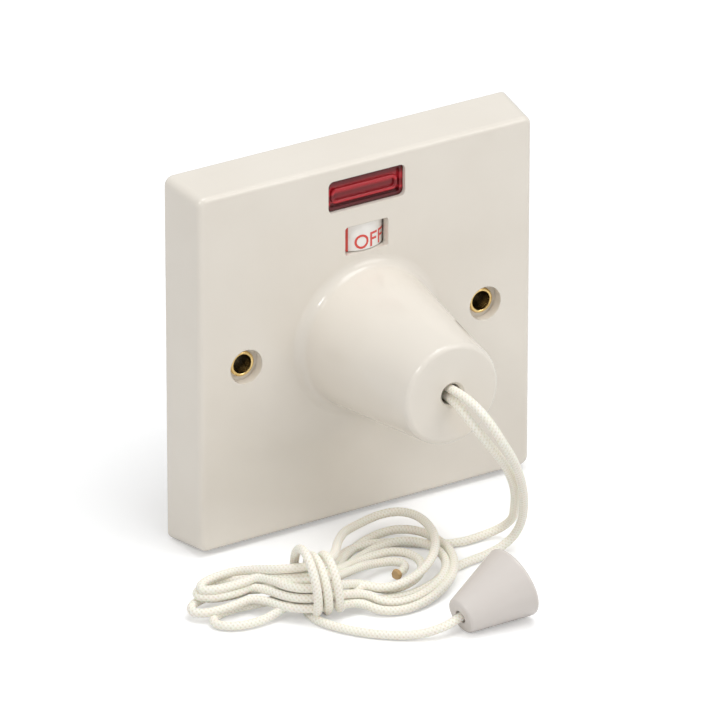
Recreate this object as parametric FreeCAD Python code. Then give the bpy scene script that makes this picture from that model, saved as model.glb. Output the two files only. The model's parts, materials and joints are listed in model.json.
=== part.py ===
"""Pull cord switch: square wall plate with a conical cord outlet, a doubled cord
laid in a tied hank in front of it, and the double-pole mechanism behind it.

Millimetres.  X runs across the plate, Y points back into the wall and Z is up.
The front face of the plate is the plane y = 0 and the plate stands on z = 0.
"""
import FreeCAD
import Part
import math
import os

V = FreeCAD.Vector
UP = V(0, 0, 1)
BACK = V(0, 1, 0)
ACROSS = V(1, 0, 0)

# ---- plate and cord outlet -------------------------------------------------
PLATE = 86.0                 # rear rim, square
FACE = 83.4                  # front face, square, after the draft of the sides
MID = PLATE / 2              # height of the plate's centre above the floor
PLATE_DEPTH = 11.9
CORNER = 2.0                 # upright corners
FACE_EDGE = 1.2              # rounding round the front face
FACE_WALL = 3.0
SIDE_WALL = 2.3
BOSS_LENGTH = 34.6
BOSS_ROOT_R = 16.5           # cone radius carried on to the face
BOSS_TAPER = 0.1445          # radius lost per millimetre of length
BOSS_WALL = 2.2
BOSS_END_WALL = 3.0
BOSS_FOOT = 2.6              # hollow rounding at the foot of the cone
BOSS_NOSE = 1.2              # rounding of the end
CORD_HOLE_R = 2.4

# ---- windows and fixings ---------------------------------------------------
NEON_X = 9.6                 # half width of the neon window
NEON_Z = (30.8, 38.2)        # heights above the plate's centre
FLAG_X = 5.4
FLAG_Z = (20.0, 26.6)
WINDOW_CORNER = 1.3
FIXING_X = 30.15             # half of the 60.3 mm between fixing centres
FIXING_BORE = 2.2
BARREL_R = 2.7
LIP_R = 0.4                  # half thickness of the eyelet's rolled lip
COUNTERBORE_R = 3.95         # recess round each eyelet
COUNTERBORE = 2.4
PILLAR_R = 5.0
PILLAR_END = 10.6
STRAP_END = 11.3             # rear face of the earthing strap

# ---- mechanism box ---------------------------------------------------------
BOX_X = 24.5
BOX_Z = (-31.0, 30.4)
BOX_Y = (5.0, 31.6)
BOX_WALL = 2.0
REAR = BOSS_LENGTH           # rear face of the box, as far back as the boss is long
LUG_X = 21.5                 # screws that hold the box to the plate
LUG_Z = (33.4, -33.6)
LUG_Y = (7.0, 9.0)
LUG_PILLAR_R = 2.6
LUG_SCREW_R = 1.4
LUG_TIP = 3.6                # depth that the screw reaches in its pillar
BACK_SCREW_Z = 24.6
BACK_SCREW_R = 1.25
SCREW_SINK_R = 2.5           # recess for each back screw's head
SCREW_SINK = 1.7

# ---- moving mechanism ------------------------------------------------------
ROCKER_Y = 21.0              # upright axis of the rocker
ROCKER_TILT = 12.0           # either side of the middle
ROCKER_PIN_R = 1.25
FLAG_Y = 8.4                 # upright axis of the indicator flag
FLAG_R = 8.0
FLAG_SWING = 38.4            # either side of the middle
FLAG_PIN_R = 1.0
CRANK = 3.4
PAWL_Y = 7.4
PAWL_PIN_R = 0.8
KNOT_SEAT = 0.2              # where the strands' knot bears in the plunger
RUNNING = 0.05               # radial clearance of pins in moving pieces
POLE_Z = 12.0                # the two poles lie above and below the middle
SILVER_R = 1.8               # contact tips
SILVER_X = 11.0
STRIP = 5.0                  # width of the contact strips
TERMINAL_X = 17.0
TERMINAL_Y = 24.0
TERMINAL_BORE = 2.75
TERMINAL_HALF = 3.5          # half width of a terminal block
TERMINAL_DEPTH = (20.0, 30.0)
CLAMP_R = 2.2                # terminal screw
CLAMP_TIP = 27.2
TERMINAL_Z = (20.4, 28.2)
TERMINAL_MID = sum(TERMINAL_Z) / 2

# ---- cord ------------------------------------------------------------------
CORD = 2.0                   # diameter of one strand
BEND = 0.45                  # share of the shorter run taken by an arc's tangent
LEAD_START = -23.0           # the strands leave the plunger's nose here
LEAD_APART = 1.3             # height of each strand above or below the middle there

# route of the strand that carries the pull, from the plunger's nose to the hank
LEAD_FRONT = [
    (0.0, -23.0, 44.3), (0.0, -28.2, 44.3), (0.0, -33.2, 44.1), (0.3, -37.8, 44.3),
    (1.2, -42.0, 43.2), (2.8, -45.0, 40.2), (5.2, -46.0, 35.6), (8.4, -45.4, 30.4),
    (11.8, -43.0, 24.4), (14.7, -40.0, 18.2), (16.8, -36.8, 12.2), (18.2, -33.8, 7.6),
    (17.8, -31.6, 3.4), (14.2, -31.0, 1.05), (9.2, -32.2, 1.05), (4.0, -32.8, 1.05),
    (-1.2, -34.4, 1.05),
]
# route of the plain strand beside it
LEAD_REAR = [
    (0.0, -23.0, 41.7), (0.0, -27.8, 41.7), (0.0, -32.4, 41.95), (0.0, -36.8, 41.6),
    (0.4, -40.6, 39.6), (1.7, -43.0, 36.0), (4.2, -43.4, 31.2), (7.6, -41.9, 26.2),
    (11.4, -39.0, 20.8), (15.0, -35.4, 15.4), (17.9, -31.4, 10.0), (19.8, -28.0, 5.6),
    (18.8, -25.0, 2.4), (14.8, -23.8, 1.05), (9.6, -24.2, 1.05), (4.6, -22.6, 1.05),
    (-0.2, -19.8, 1.05),
]
# route of the tail from the hank to the pull
TAIL = [
    (-35.6, -32.4, 1.05), (-36.8, -37.6, 1.05), (-35.0, -43.0, 1.05), (-31.8, -48.0, 1.05),
    (-27.6, -52.4, 1.05), (-22.4, -56.2, 1.25), (-16.98, -58.47, 2.6), (-12.57, -58.1, 3.85),
]
# outline of the hank: place along X, front and back edge, height
HANK = [
    (-59.0, -32.0, -21.0, 3.0), (-56.0, -35.0, -18.0, 7.0), (-50.0, -36.0, -16.5, 9.5),
    (-42.0, -40.5, -21.0, 13.0), (-37.0, -41.5, -25.5, 15.0), (-30.0, -42.5, -25.0, 13.5),
    (-22.0, -46.5, -16.0, 9.5), (-13.0, -47.5, -8.0, 8.5), (-3.0, -44.0, -6.5, 8.0),
    (5.0, -33.0, -16.5, 4.5),
]
HANK_EDGE = 1.8              # height of the hank's upright edge

# ---- pull ------------------------------------------------------------------
PULL_SMALL_R = 4.0
PULL_BIG_R = 8.3
PULL_LENGTH = 15.2
PULL_AT = (-12.57, -58.1)    # centre of the small end, on the floor plan
PULL_HEADING = 4.8           # degrees from +X
PULL_HOLE_R = 1.5


def at(x, y, dz):
    """Point given by its height above the plate's centre."""
    return V(x, y, MID + dz)


def block(x, y, z):
    """Box between two X, two Y and two heights above the plate's centre."""
    return Part.makeBox(x[1] - x[0], y[1] - y[0], z[1] - z[0], at(x[0], y[0], z[0]))


def rod_x(r, x0, x1, y, z):
    return Part.makeCylinder(r, x1 - x0, at(x0, y, z), ACROSS)


def rod_y(r, y0, y1, x=0.0, z=0.0):
    return Part.makeCylinder(r, y1 - y0, at(x, y0, z), BACK)


def rod_z(r, z0, z1, x, y):
    return Part.makeCylinder(r, z1 - z0, at(x, y, z0), UP)


def cone_y(r0, r1, y0, y1, x=0.0, z=0.0):
    return Part.makeCone(r0, r1, y1 - y0, at(x, y0, z), BACK)


def join(*shapes):
    return shapes[0].multiFuse(list(shapes[1:])).removeSplitter()


def turned(shape, degrees, y):
    """Copy turned about the upright axis through (0, y)."""
    copy = shape.copy()
    copy.rotate(at(0, y, 0), UP, degrees)
    return copy


def above_and_below(shape):
    """The shape and its mirror image about the plate's centre height."""
    return shape, shape.mirror(at(0, 0, 0), UP)


def rounded_square(half_x, z0, z1, corner, y):
    """Closed wire of a rectangle with round corners in the plane y."""
    k = corner * (1 - math.sqrt(0.5))
    x = half_x
    corners = (
        (at(x, y, z0 + corner), at(x, y, z1 - corner), at(x - k, y, z1 - k), at(x - corner, y, z1)),
        (at(x - corner, y, z1), at(corner - x, y, z1), at(k - x, y, z1 - k), at(-x, y, z1 - corner)),
        (at(-x, y, z1 - corner), at(-x, y, z0 + corner), at(k - x, y, z0 + k), at(corner - x, y, z0)),
        (at(corner - x, y, z0), at(x - corner, y, z0), at(x - k, y, z0 + k), at(x, y, z0 + corner)),
    )
    edges = []
    for start, end, middle, after in corners:
        edges.append(Part.LineSegment(start, end).toShape())
        edges.append(Part.Arc(end, middle, after).toShape())
    return Part.Wire(edges)


def window(half_x, z0, z1, corner, y0, y1):
    """Prism with round corners, running back from y0 to y1."""
    return Part.Face(rounded_square(half_x, z0, z1, corner, y0)).extrude(V(0, y1 - y0, 0))


def coil(radius, wire, y0, y1, turns, x=0.0, z=0.0):
    """Helical spring along Y between two planes."""
    height = y1 - y0 - 2 * wire
    path = Part.makeHelix(height / turns, height, radius)
    section = Part.Wire(Part.makeCircle(wire, V(radius, 0, 0), BACK))
    spring = Part.Wire(path.Edges).makePipeShell([section], True, True)
    spring.rotate(V(0, 0, 0), ACROSS, -90)
    spring.translate(at(x, y0 + wire, z))
    return spring


def slotted_screw(r, head_r, tip, seat, top, x, z):
    """Screw driven from the back: shank from tip to seat, slotted head from seat to top."""
    screw = join(rod_y(r, tip, seat, x, z), rod_y(head_r, seat, top, x, z))
    slot_half = 0.35
    slot = block((x - head_r, x + head_r), (top - 0.8, top), (z - slot_half, z + slot_half))
    return screw.cut(slot)


# ---- plate -----------------------------------------------------------------
def boss_radius(y):
    return BOSS_ROOT_R + BOSS_TAPER * y


def boss():
    """Conical cord outlet with a hollow foot and a rounded nose, turned about Y."""
    slope = math.atan(BOSS_TAPER)
    c, s = math.cos(slope), math.sin(slope)

    def arc_to_cone(radius, outside, plane_y):
        """Rounding between the cone and a flat: its end on the cone, its middle and its end."""
        side = 1.0 if outside else -1.0
        reach = radius * (1 - s)
        y = plane_y - side * reach
        r = boss_radius(y)
        centre = (r + side * radius * c, y - side * radius * s)
        lean = (-side * c, side * (1 + s))
        length = math.hypot(*lean)
        middle = (centre[0] + radius * lean[0] / length, centre[1] + radius * lean[1] / length)
        return (r, y), middle, (centre[0], plane_y)

    foot = arc_to_cone(BOSS_FOOT, True, 0.0)
    nose = arc_to_cone(BOSS_NOSE, False, -BOSS_LENGTH)

    def p(point):
        return at(point[0], point[1], 0)

    bed = FACE_WALL / 2
    axis_front, axis_bed = at(0, -BOSS_LENGTH, 0), at(0, bed, 0)
    edges = [
        Part.LineSegment(axis_front, p(nose[2])).toShape(),
        Part.Arc(p(nose[2]), p(nose[1]), p(nose[0])).toShape(),
        Part.LineSegment(p(nose[0]), p(foot[0])).toShape(),
        Part.Arc(p(foot[0]), p(foot[1]), p(foot[2])).toShape(),
        Part.LineSegment(p(foot[2]), at(foot[2][0], bed, 0)).toShape(),
        Part.LineSegment(at(foot[2][0], bed, 0), axis_bed).toShape(),
        Part.LineSegment(axis_bed, axis_front).toShape(),
    ]
    return Part.Face(Part.Wire(edges)).revolve(at(0, 0, 0), BACK, 360)


def front_cover():
    half, face = PLATE / 2, FACE / 2
    outer = Part.makeLoft([
        rounded_square(face, -face, face, CORNER, 0.0),
        rounded_square(half, -half, half, CORNER, PLATE_DEPTH)], True, True)
    rim = [e for e in outer.Edges if e.BoundBox.YMax < 0.01]
    outer = outer.makeFillet(FACE_EDGE, rim)
    inner_face, inner_rim = face - SIDE_WALL, half - SIDE_WALL
    hollow = Part.makeLoft([
        rounded_square(inner_face, -inner_face, inner_face, CORNER, FACE_WALL),
        rounded_square(inner_rim, -inner_rim, inner_rim, CORNER, PLATE_DEPTH + 1)], True, True)
    inner_nose = BOSS_END_WALL - BOSS_LENGTH
    throat = cone_y(boss_radius(inner_nose) - BOSS_WALL, BOSS_ROOT_R - BOSS_WALL, inner_nose, 0.0)
    mouth = rod_y(BOSS_ROOT_R - BOSS_WALL, 0.0, FACE_WALL + 1)
    hole_lip = 0.6
    cuts = [hollow, throat, mouth, rod_y(CORD_HOLE_R, -BOSS_LENGTH - 1, 0.0),
            cone_y(CORD_HOLE_R + hole_lip, CORD_HOLE_R, -BOSS_LENGTH, hole_lip - BOSS_LENGTH)]
    cover = outer.fuse(boss()).cut(Part.makeCompound(cuts))
    for side in (-1, 1):
        cover = cover.fuse(rod_y(PILLAR_R, FACE_WALL / 2, PILLAR_END, side * FIXING_X))
        for lug_z in LUG_Z:
            cover = cover.fuse(rod_y(LUG_PILLAR_R, FACE_WALL / 2, LUG_Y[0], side * LUG_X, lug_z))
    for side in (-1, 1):
        cover = cover.cut(rod_y(BARREL_R, -1, PLATE_DEPTH, side * FIXING_X))
        cover = cover.cut(rod_y(COUNTERBORE_R, -1, COUNTERBORE, side * FIXING_X))
        for lug_z in LUG_Z:
            cover = cover.cut(rod_y(LUG_SCREW_R, LUG_TIP, LUG_Y[0], side * LUG_X, lug_z))
    cover = cover.cut(window(NEON_X, *NEON_Z, WINDOW_CORNER, -1, FACE_WALL + 1))
    cover = cover.cut(window(FLAG_X, *FLAG_Z, WINDOW_CORNER / 2, -1, FACE_WALL + 1))
    return cover.cut(rod_z(FLAG_R + 0.35, *FLAG_Z, 0, FLAG_Y)).removeSplitter()


def fixing_eyelet(side):
    """Brass eyelet: rolled front lip, barrel and rear flare over the earthing strap."""
    x = side * FIXING_X
    flare_r, flare_thick = 3.6, 0.5
    lip_y = COUNTERBORE - LIP_R
    lip = Part.makeTorus(BARREL_R - LIP_R / 2, LIP_R, at(x, lip_y, 0), BACK)
    barrel = rod_y(BARREL_R, lip_y, STRAP_END, x)
    flare = rod_y(flare_r, STRAP_END, STRAP_END + flare_thick, x)
    bore = rod_y(FIXING_BORE, -1, PLATE_DEPTH + 1, x)
    return join(lip, barrel, flare).cut(bore)


# ---- neon indicator --------------------------------------------------------
NEON_MID = sum(NEON_Z) / 2
LAMP_Y = 7.4
LENS_FLANGE = (3.0, 4.4)
LEAD_WIRE_R = 0.35


def neon_lens():
    """Red lens: stepped tray behind the window, with a rib like a racetrack on its floor."""
    gap = 0.1
    half, low, high = NEON_X - gap, NEON_Z[0] + gap, NEON_Z[1] - gap
    face_y, wall = 0.9, 0.8
    floor_y = face_y + 0.7
    tray = window(half, low, high, WINDOW_CORNER - gap, face_y, LENS_FLANGE[0])
    well = window(half - wall, low + wall, high - wall, 0.5, face_y - 1, floor_y)
    flange_x = NEON_X + 1.6
    flange = block((-flange_x, flange_x), LENS_FLANGE, (NEON_Z[0] - 0.3, NEON_Z[1] + 1.2))
    hollow = block((wall - half, half - wall), (2.6, 5.0), (low + wall, high - wall))
    return join(tray.cut(well), flange, racetrack_rib(face_y + 0.05, floor_y + 0.2)).cut(hollow)


def racetrack_rib(front_y, back_y):
    """Closed rib with round ends and softened front edges."""
    half, low, high, corner, wide = 8.4, NEON_MID - 2.2, NEON_MID + 1.4, 1.5, 0.9
    outside = window(half, low, high, corner, front_y, back_y)
    inside = window(half - wide, low + wide, high - wide, corner - wide, front_y - 1, back_y + 1)
    rib = outside.cut(inside)
    front_edges = [e for e in rib.Edges if e.BoundBox.YMax < front_y + 0.01]
    return rib.makeFillet(0.35, front_edges)


def neon_holder():
    """Cradle behind the lens, with a hole in each cheek for the lamp's wires."""
    cheek = 1.2
    x, z = NEON_X - 0.2, (NEON_Z[0] + 0.2, NEON_Z[1])
    outside = block((-x, x), (LENS_FLANGE[1], 11.2), z)
    inside = block((cheek - x, x - cheek), (LENS_FLANGE[1] - 1, 10.0), (z[0] + 1.0, z[1] + 1))
    return outside.cut(inside).cut(rod_x(LEAD_WIRE_R, -x - 1, x + 1, LAMP_Y, NEON_MID))


def neon_lamp():
    """Small glass tube with a pinched tip."""
    glass_r, tip_r, tip_length = 2.0, 0.6, 1.4
    left, right = -5.2, 4.2
    body = rod_x(glass_r, left, right, LAMP_Y, NEON_MID)
    tip = Part.makeCone(glass_r, tip_r, tip_length, at(right, LAMP_Y, NEON_MID), ACROSS)
    return join(body, tip)


LEAD_X = 16.0                # where the lamp's wires turn down into the box
LEAD_Y = 13.5
RESISTOR_X = (9.9, 14.6)
RESISTOR_R = 1.3


def neon_wire(side):
    """Bent wire from the lamp to the top of the mechanism box."""
    lamp_end = 5.6 if side > 0 else 5.2
    x = side * LEAD_X
    across = Part.makeCylinder(LEAD_WIRE_R, LEAD_X - lamp_end, at(side * lamp_end, LAMP_Y, NEON_MID),
                               V(side, 0, 0))
    back = rod_y(LEAD_WIRE_R, LAMP_Y, LEAD_Y, x, NEON_MID)
    down = rod_z(LEAD_WIRE_R, BOX_Z[1], NEON_MID, x, LEAD_Y)
    elbows = [Part.makeSphere(LEAD_WIRE_R, at(x, y, NEON_MID)) for y in (LAMP_Y, LEAD_Y)]
    return join(across, back, down, *elbows)


def neon_resistor():
    """Small lacquered resistor threaded on the right wire."""
    body = rod_x(RESISTOR_R, *RESISTOR_X, LAMP_Y, NEON_MID)
    return body.cut(rod_x(LEAD_WIRE_R, *RESISTOR_X, LAMP_Y, NEON_MID))


# ---- mechanism box ---------------------------------------------------------
SHELF = (18.6, 20.2)         # bearings of the rocker's pin
SHELF_Y = (17.0, 29.0)
SHELF_X = 8.5


def mechanism_housing():
    """Open-backed box with bearing shelves, lugs, and openings for the flag and the wires."""
    x, (z0, z1), (y0, y1) = BOX_X, BOX_Z, BOX_Y
    w = BOX_WALL
    box = block((-x, x), (y0, y1), (z0, z1))
    box = box.cut(block((w - x, x - w), (y0 + w, y1 + 1), (z0 + w, z1 - w)))
    box = box.multiFuse(shelves_and_posts() + housing_lugs() + [flag_step()])
    return box.cut(Part.makeCompound(housing_openings())).removeSplitter()


def shelves_and_posts():
    """Above and below: a bearing shelf on two ribs, and the post for the back screw."""
    rib_wide, post_half, post_front = 1.5, 2.8, 17.0
    pieces = []
    for end, wall_z in ((1, BOX_Z[1] - BOX_WALL), (-1, BOX_Z[0] + BOX_WALL)):
        for side in (-1, 1):
            rib_x = sorted((side * SHELF_X, side * (SHELF_X - rib_wide)))
            pieces.append(block(rib_x, SHELF_Y, sorted((end * SHELF[0], wall_z))))
        shelf_z = sorted((end * SHELF[0], end * SHELF[1]))
        pieces.append(block((-SHELF_X, SHELF_X), SHELF_Y, shelf_z))
        post_z = sorted((end * SHELF[1], wall_z))
        pieces.append(block((-post_half, post_half), (post_front, BOX_Y[1]), post_z))
    return pieces


def housing_lugs():
    """Four ears for the screws that hold the box to the plate."""
    half = 3.0
    pieces = []
    for end, edge_z, lug_z in ((1, BOX_Z[1], LUG_Z[0]), (-1, BOX_Z[0], LUG_Z[1])):
        for side in (-1, 1):
            ear_x = sorted((side * (LUG_X - half), side * (LUG_X + half)))
            pieces.append(block(ear_x, LUG_Y, sorted((edge_z, lug_z + end * half))))
    return pieces


def flag_step():
    """Lower bearing of the flag's pin."""
    half, back = 1.6, 10.2
    return block((-half, half), (BOX_Y[0] + BOX_WALL, back), (14.4, 16.0))


def housing_openings():
    """Holes for the plunger, the flag, the pins, the wires, the conductors and the screws."""
    plunger_r, flag_half, port_r, wire_gap = 8.2, 9.2, 3.3, 0.3
    (z0, z1), (y0, y1), w = BOX_Z, BOX_Y, BOX_WALL
    front = (y0 - 1, y0 + w + 0.5)
    cuts = [
        rod_y(plunger_r, *front),
        block((-flag_half, flag_half), front, (17.2, 28.4)),
        rod_z(FLAG_PIN_R, 14.0, z1, 0, FLAG_Y),
        rod_z(ROCKER_PIN_R, -SHELF[1], SHELF[1], 0, ROCKER_Y),
    ]
    for side in (-1, 1):
        cuts.append(rod_z(LEAD_WIRE_R + wire_gap, z1 - w, z1, side * LEAD_X, LEAD_Y))
        cuts.append(rod_z(port_r, z1 - w - 1, z1 + 1, side * TERMINAL_X, TERMINAL_Y))
        cuts.append(rod_z(port_r, z0 - 1, z0 + w + 1, side * TERMINAL_X, TERMINAL_Y))
        cuts.append(rod_y(BACK_SCREW_R, 22.0, y1, 0, side * BACK_SCREW_Z))
        for lug_z in LUG_Z:
            cuts.append(rod_y(LUG_SCREW_R, LUG_Y[0], LUG_Y[1], side * LUG_X, lug_z))
    return cuts


def housing_back():
    """Rear lid with sunk holes for its screws and ports over the terminal screws."""
    corner, chamfer, port_r = 1.5, 0.6, 3.2
    lid = window(BOX_X, *BOX_Z, corner, BOX_Y[1], REAR)
    rear_edges = [e for e in lid.Edges if e.BoundBox.YMin > REAR - 0.01]
    lid = lid.makeChamfer(chamfer, rear_edges)
    cuts = []
    for end in (-1, 1):
        cuts.append(rod_y(BACK_SCREW_R, BOX_Y[1], REAR, 0, end * BACK_SCREW_Z))
        cuts.append(rod_y(SCREW_SINK_R, REAR - SCREW_SINK, REAR, 0, end * BACK_SCREW_Z))
        for side in (-1, 1):
            cuts.append(rod_y(port_r, BOX_Y[1], REAR, side * TERMINAL_X, end * TERMINAL_MID))
    return lid.cut(Part.makeCompound(cuts))


def detent_plate():
    """Steel plate with a groove on each side of the middle for the toggle pin."""
    half, front, groove_r, groove_x = 5.0, 30.4, 0.5, 2.2
    plate = block((-half, half), (front, BOX_Y[1]), (-half, half))
    for side in (-1, 1):
        plate = plate.cut(rod_z(groove_r, -half - 1, half + 1, side * groove_x, front - 0.1))
    return plate


# ---- terminals and fixed contacts ------------------------------------------
def terminal_block():
    """Brass block at the upper right, bored upright for the conductor."""
    block_x = (TERMINAL_X - TERMINAL_HALF, TERMINAL_X + TERMINAL_HALF)
    body = block(block_x, TERMINAL_DEPTH, TERMINAL_Z)
    bore = rod_z(TERMINAL_BORE, *TERMINAL_Z, TERMINAL_X, TERMINAL_Y)
    clamp = rod_y(CLAMP_R, CLAMP_TIP, TERMINAL_DEPTH[1], TERMINAL_X, TERMINAL_MID)
    return body.cut(bore).cut(clamp)


def pole_strip(inner_x, front_y):
    """Copper strip from the contact in the middle round to the terminal on the right."""
    thick, back, upright_front = 1.0, 27.0, 21.0
    low, high = POLE_Z - STRIP / 2, POLE_Z + STRIP / 2
    edge = TERMINAL_X + TERMINAL_HALF
    across = block((inner_x, edge + thick), (front_y, front_y + thick), (low, high))
    along = block((edge, edge + thick), (front_y, back), (low, high))
    upright = block((edge, edge + thick), (upright_front, back), (low, TERMINAL_Z[1]))
    return join(across, along, upright)


def load_contact():
    """Strip with the fixed silver contact, square to the closed contact arm."""
    strip_y = 12.2
    tip = turned(rod_y(SILVER_R, strip_y - 0.2, 16.3, SILVER_X, POLE_Z), -ROCKER_TILT, ROCKER_Y)
    behind_strip = block((0, 20), (strip_y + 0.9, 20), (0, 20))
    return join(pole_strip(8.0, strip_y), tip.common(behind_strip))


def supply_contact():
    """Strip with the rounded saddle that the contact arm rocks on."""
    strip_y, saddle_r = 14.4, 1.0
    strip = pole_strip(-saddle_r, strip_y).mirror(at(0, 0, 0), ACROSS)
    saddle = rod_z(saddle_r, POLE_Z - STRIP / 2, POLE_Z + STRIP / 2, 0, 15.9)
    return join(strip, saddle)


# ---- rocker ----------------------------------------------------------------
ARM_Y = (17.3, 18.3)
ARM_X = (-3.0, 13.0)
BEAM_Y = (18.3, 22.5)
SPRING_X = 9.0               # contact spring in its pocket behind each arm
SPRING_END = 20.3
SPRING_POCKET_R = 1.5
TOGGLE_BORE_R = 2.4
TOGGLE_Y = 24.0              # bottom of the toggle pin's bore
TOGGLE_SHANK = (26.6, 28.6)


def rocker():
    """Moulded rocker, drawn in its middle position."""
    hub_r, tail_r, tail_end = 3.2, 3.4, 28.0
    fork_z, fork_front, fork_half, fork_slot = (16.3, 18.1), 9.9, 3.0, 1.2
    horn_x, horn_front, horn_half = (5.5, 8.5), 14.6, 3.0
    parts = [rod_z(hub_r, -16.2, fork_z[1], 0, ROCKER_Y)]
    parts += above_and_below(block((-9.0, ARM_X[1] + 0.5), BEAM_Y, (8.5, 15.5)))
    for side in (-1, 1):
        horn = sorted((side * horn_x[0], side * horn_x[1]))
        parts.append(block(horn, (horn_front, 20.0), (-horn_half, horn_half)))
    parts.append(block((-9.0, 9.0), (19.2, BEAM_Y[1]), (-horn_half, horn_half)))
    parts.append(rod_y(tail_r, ROCKER_Y, tail_end))
    parts.append(block((-fork_half, fork_half), (fork_front, 20.0), fork_z))
    body = join(*parts)
    cuts = [rod_z(ROCKER_PIN_R + RUNNING, -17, 19, 0, ROCKER_Y),
            rod_y(TOGGLE_BORE_R, TOGGLE_Y, tail_end + 1),
            block((-fork_slot, fork_slot), (fork_front - 1, 13.4), (16.0, 18.4))]
    for z in (-POLE_Z, POLE_Z):
        cuts.append(rod_y(SPRING_POCKET_R, ARM_Y[1], SPRING_END, SPRING_X, z))
        cuts.append(block(ARM_X, ARM_Y, (z - STRIP / 2, z + STRIP / 2)))
    return body.cut(Part.makeCompound(cuts))


def contact_arm():
    """Upper moving arm with its silver contact, in the rocker's middle position."""
    arm = block(ARM_X, ARM_Y, (POLE_Z - STRIP / 2, POLE_Z + STRIP / 2))
    return join(arm, rod_y(SILVER_R, 16.5, ARM_Y[0], SILVER_X, POLE_Z))


def toggle_pin():
    """Spring-loaded pin with a round nose, in the rocker's tail."""
    r = TOGGLE_BORE_R - RUNNING
    nose_flat = 30.0
    shank = rod_y(r, *TOGGLE_SHANK)
    nose = Part.makeSphere(r, at(0, TOGGLE_SHANK[1], 0)).common(rod_y(3, 28.0, nose_flat))
    return join(shank, nose)


# ---- flag ------------------------------------------------------------------
def indicator_flag():
    """Half drum seen in the small window, in its middle position, with its crank."""
    z0, z1 = FLAG_Z[0] + 0.2, FLAG_Z[1] - 0.2
    skin_thick, web_thick, hub_r, crank_r = 1.0, 1.0, 2.2, 0.8
    arm_half, arm_z, foot_z = 1.2, (18.4, 19.6), 16.5
    front_half = block((-FLAG_R - 1, FLAG_R + 1), (0, FLAG_Y), (z0, z1))
    skin = rod_z(FLAG_R, z0, z1, 0, FLAG_Y).cut(rod_z(FLAG_R - skin_thick, z0, z1, 0, FLAG_Y))
    web = rod_z(FLAG_R - skin_thick / 2, z0, z0 + web_thick, 0, FLAG_Y)
    hub = rod_z(hub_r, arm_z[0], z1, 0, FLAG_Y)
    arm = block((-arm_half, arm_half), (FLAG_Y, FLAG_Y + CRANK), arm_z)
    crank_pin = rod_z(crank_r, foot_z, arm_z[1], 0, FLAG_Y + CRANK)
    flag = join(skin.common(front_half), web.common(front_half), hub, arm, crank_pin)
    return flag.cut(rod_z(FLAG_PIN_R + RUNNING, arm_z[0] - 1, z1 + 1, 0, FLAG_Y))


# ---- pull rod --------------------------------------------------------------
def pull_plunger():
    """Sliding rod: nose with two cord holes, flange for the spring, fork for the pawl."""
    stem_r, flange_r, flange_y, well_r = 4.6, 11.6, (1.8, 4.8), 3.2
    stem = rod_y(stem_r, LEAD_START, 5.0)
    flange = rod_y(flange_r, *flange_y)
    cheeks = above_and_below(block((-2.4, 2.4), (flange_y[1], 9.2), (3.0, 5.0)))
    body = join(stem, flange, *cheeks)
    cuts = [rod_y(CORD / 2, LEAD_START, 0.5, 0, dz) for dz in (-LEAD_APART, LEAD_APART)]
    cuts.append(rod_y(well_r, KNOT_SEAT, 5.2))
    cuts.append(rod_z(PAWL_PIN_R, -5.0, 5.0, 0, PAWL_Y))
    return body.cut(Part.makeCompound(cuts))


def cord_knot():
    """Knot that holds both strands behind the plunger's nose."""
    ball_r, ring_r, strand_r = 2.7, 2.0, 0.9
    ball = Part.makeSphere(ball_r, at(0, KNOT_SEAT + ball_r, 0)).common(rod_y(4, KNOT_SEAT, 4.8))
    return join(ball, Part.makeTorus(ring_r, strand_r, at(0, 2.6, 0), V(0.3, 1, 0.2)))


def drive_pawl():
    """Swinging pawl with a striking head at each side."""
    half, hub_r, neck_half, head_half = 2.6, 1.7, 1.1, 6.2
    hub = rod_z(hub_r, -half, half, 0, PAWL_Y)
    neck = block((-neck_half, neck_half), (PAWL_Y, 11.4), (-half, half))
    head = block((-head_half, head_half), (10.4, 11.6), (-half, half))
    return join(hub, neck, head).cut(rod_z(PAWL_PIN_R + RUNNING, -3, 3, 0, PAWL_Y))


# ---- earthing --------------------------------------------------------------
EARTH_Y = (PILLAR_END, STRAP_END)


def earth_strap():
    """Brass strip joining both eyelets round the lower edge of the box."""
    leg, foot_z = (27.8, 32.4), (-39.8, -36.2)
    rings = [rod_y(PILLAR_R, *EARTH_Y, side * FIXING_X) for side in (-1, 1)]
    legs = []
    for side in (-1, 1):
        leg_x = sorted((side * leg[0], side * leg[1]))
        legs.append(block(leg_x, EARTH_Y, (foot_z[0], 0)))
    foot = block((-leg[1], leg[1]), EARTH_Y, foot_z)
    strap = join(*rings, *legs, foot)
    for side in (-1, 1):
        strap = strap.cut(rod_y(BARREL_R, *EARTH_Y, side * FIXING_X))
    return strap


EARTH_X = -30.1
EARTH_HALF = 3.2
EARTH_BLOCK_Z = (-22.0, -14.0)
EARTH_BLOCK_Y = (STRAP_END, 19.8)
EARTH_BORE_Y = 14.6
EARTH_BORE_R = 2.0
EARTH_SCREW_R = 1.75
EARTH_SCREW_TIP = 16.9
EARTH_SCREW_Z = sum(EARTH_BLOCK_Z) / 2


def earth_terminal():
    """Small brass block on the strap, bored upright for the earth conductor."""
    body = block((EARTH_X - EARTH_HALF, EARTH_X + EARTH_HALF), EARTH_BLOCK_Y, EARTH_BLOCK_Z)
    body = body.cut(rod_z(EARTH_BORE_R, *EARTH_BLOCK_Z, EARTH_X, EARTH_BORE_Y))
    return body.cut(rod_y(EARTH_SCREW_R, EARTH_SCREW_TIP, EARTH_BLOCK_Y[1], EARTH_X, EARTH_SCREW_Z))


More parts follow.
